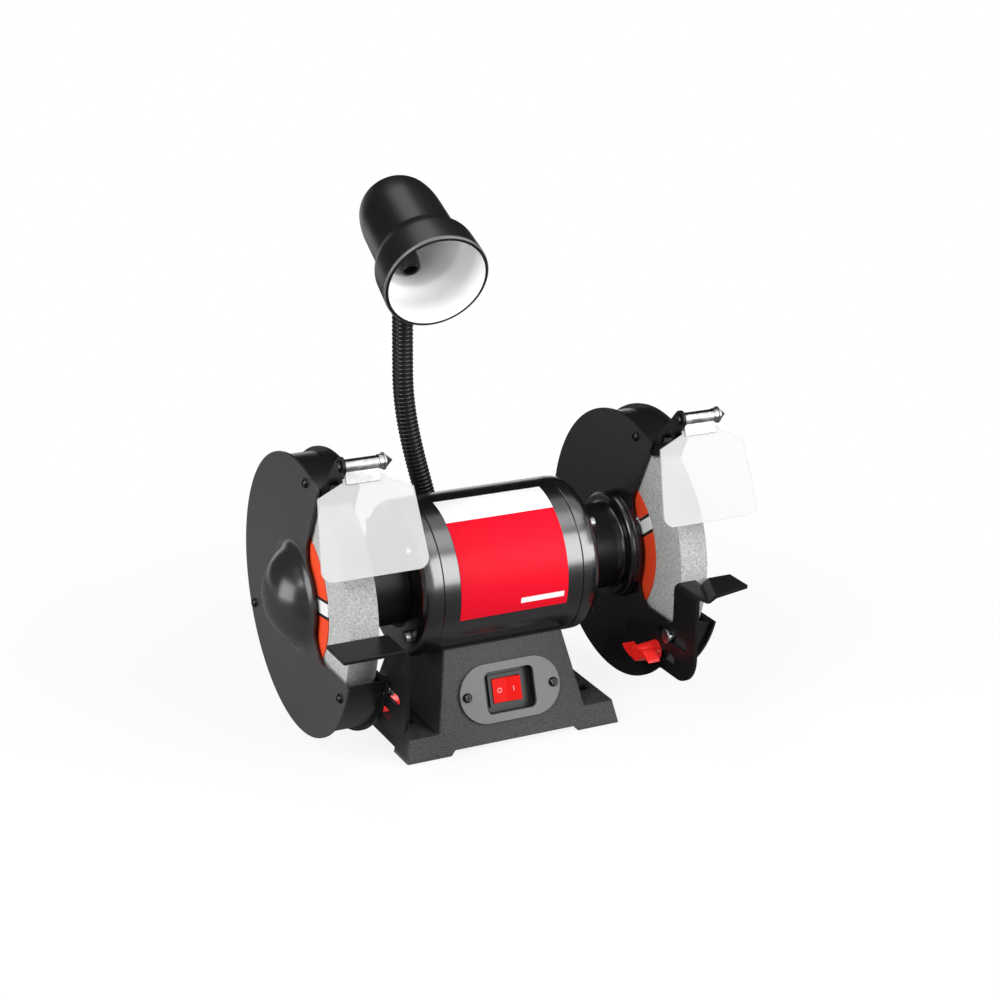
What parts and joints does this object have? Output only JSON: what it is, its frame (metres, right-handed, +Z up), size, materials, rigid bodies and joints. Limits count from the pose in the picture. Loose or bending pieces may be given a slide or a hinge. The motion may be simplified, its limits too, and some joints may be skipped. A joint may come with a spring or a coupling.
{
  "type": "bench grinder",
  "caption": "Double-ended bench grinder with guarded wheels, sliding tool rests, hinged eye shields, a rocker switch and a lamp on a flexible neck.",
  "frame": {"origin": "on the bench plane, at the middle of the bench bolt pattern, under the middle of the motor", "axes": "+X along the shaft to the right as seen from the front, +Y to the rear, +Z up"},
  "size_m": [0.3834, 0.2535, 0.4496],
  "materials": {
    "grey_casting": "grainy dark grey enamel",
    "gloss_black": "glossy black enamel",
    "bell_black": "glossy black enamel on an alloy casting",
    "cover_black": "satin black enamel",
    "rest_black": "satin black enamel",
    "label_film": "red film with a plain white header",
    "plate_grey": "plain mid grey",
    "black_plastic": "moulded",
    "red_plastic": "moulded",
    "bright_steel": "zinc plated",
    "dark_steel": "black oxide",
    "lamination": "bare laminations",
    "copper": "varnished winding",
    "abrasive": "speckled grey grit",
    "blotter_card": "orange-red card",
    "foot_rubber": "matte",
    "clear_sheet": "clear sheet",
    "neck_black": "ribbed sleeve",
    "shade_black": "satin black outside, white inside"
  },
  "bodies": {
    "frame": {"base_casting": "grey_casting", "rubber_feet": "foot_rubber", "bottom_plate": "gloss_black", "bottom_plate_screws": "bright_steel", "motor_bolts": "bright_steel", "switch_plate": "plate_grey", "switch_plate_screws": "dark_steel", "switch_tray": "black_plastic", "switch_body": "black_plastic", "capacitor": "plate_grey", "capacitor_clamp": "bright_steel", "cord_gland": "black_plastic", "motor_shell": "gloss_black", "label_panel": "label_film", "stator_core": "lamination", "stator_windings": "copper", "end_bell_left": "bell_black", "end_bell_right": "bell_black", "tie_rods": "bright_steel", "bearings": "bright_steel", "guard_left": "gloss_black", "guard_right": "gloss_black", "guard_cover_left": "cover_black", "guard_cover_right": "cover_black", "cover_screws": "bright_steel", "guard_bolts": "bright_steel", "rest_bolts": "bright_steel", "guide_screws": "bright_steel", "arrestor_screws": "bright_steel", "lamp_socket": "gloss_black", "neck_lower": "neck_black"},
    "rotor": {"shaft": "bright_steel", "rotor_core": "lamination", "inner_flanges": "bright_steel", "outer_flanges": "bright_steel", "blotters": "blotter_card", "wheel_left": "abrasive", "wheel_right": "abrasive", "wheel_bushes": "black_plastic", "arbor_nuts": "bright_steel"},
    "rocker": {"switch_rocker": "red_plastic"},
    "arrestor_left": {"spark_arrestor_left": "rest_black", "shield_pivot_left": "bright_steel", "cone_nut_left": "black_plastic"},
    "shield_left": {"shield_clip_left": "bright_steel", "eye_shield_left": "clear_sheet"},
    "rest_left": {"tool_rest_left": "rest_black"},
    "knob_left": {"wing_knob_left": "red_plastic"},
    "arrestor_right": {"spark_arrestor_right": "rest_black", "shield_pivot_right": "bright_steel", "cone_nut_right": "black_plastic"},
    "shield_right": {"shield_clip_right": "bright_steel", "eye_shield_right": "clear_sheet"},
    "rest_right": {"tool_rest_right": "rest_black"},
    "knob_right": {"wing_knob_right": "red_plastic"},
    "lamp_arm": {"neck_upper": "neck_black", "lamp_ferrule": "gloss_black"},
    "lamp_head": {"lamp_shade": "shade_black", "lamp_holder": "black_plastic", "lamp_contact": "bright_steel"}
  },
  "joints": [
    {"name": "rotor_spin", "type": "hinge", "parent": "frame", "child": "rotor", "pos_m": [0, 0, 0.1345], "axis": [1, 0, 0], "continuous": true},
    {"name": "rocker_tilt", "type": "hinge", "parent": "frame", "child": "rocker", "pos_m": [0, -0.04859, 0.04193], "axis": [0, 0.2961, 0.9552], "range_deg": [0, 14]},
    {"name": "arrestor_slide_left", "type": "slide", "parent": "frame", "child": "arrestor_left", "axis": [0, -0.7071, 0.7071], "range_m": [0, 0.006]},
    {"name": "shield_hinge_left", "type": "hinge", "parent": "arrestor_left", "child": "shield_left", "pos_m": [-0.146, -0.0885, 0.268], "axis": [-1, 0, 0], "range_deg": [-5, 95]},
    {"name": "rest_slide_left", "type": "slide", "parent": "frame", "child": "rest_left", "axis": [0, -1, 0], "range_m": [-0.0025, 0.012]},
    {"name": "knob_turn_left", "type": "hinge", "parent": "frame", "child": "knob_left", "pos_m": [-0.115, -0.079, 0.0665], "axis": [-1, 0, 0], "continuous": true},
    {"name": "arrestor_slide_right", "type": "slide", "parent": "frame", "child": "arrestor_right", "axis": [0, -0.7071, 0.7071], "range_m": [0, 0.006]},
    {"name": "shield_hinge_right", "type": "hinge", "parent": "arrestor_right", "child": "shield_right", "pos_m": [0.146, -0.0885, 0.268], "axis": [-1, 0, 0], "range_deg": [-5, 95]},
    {"name": "rest_slide_right", "type": "slide", "parent": "frame", "child": "rest_right", "axis": [0, -1, 0], "range_m": [-0.0025, 0.012]},
    {"name": "knob_turn_right", "type": "hinge", "parent": "frame", "child": "knob_right", "pos_m": [0.115, -0.079, 0.0665], "axis": [1, 0, 0], "continuous": true},
    {"name": "neck_bend", "type": "hinge", "parent": "frame", "child": "lamp_arm", "pos_m": [-0.02058, 0.08, 0.196], "axis": [1, 0, 0], "range_deg": [-20, 20], "deforming": ["neck_lower"]},
    {"name": "lamp_turn", "type": "hinge", "parent": "lamp_arm", "child": "lamp_head", "pos_m": [-0.0345, 0.08, 0.3634], "axis": [0, 0, 1], "range_deg": [-60, 60]}
  ]
}
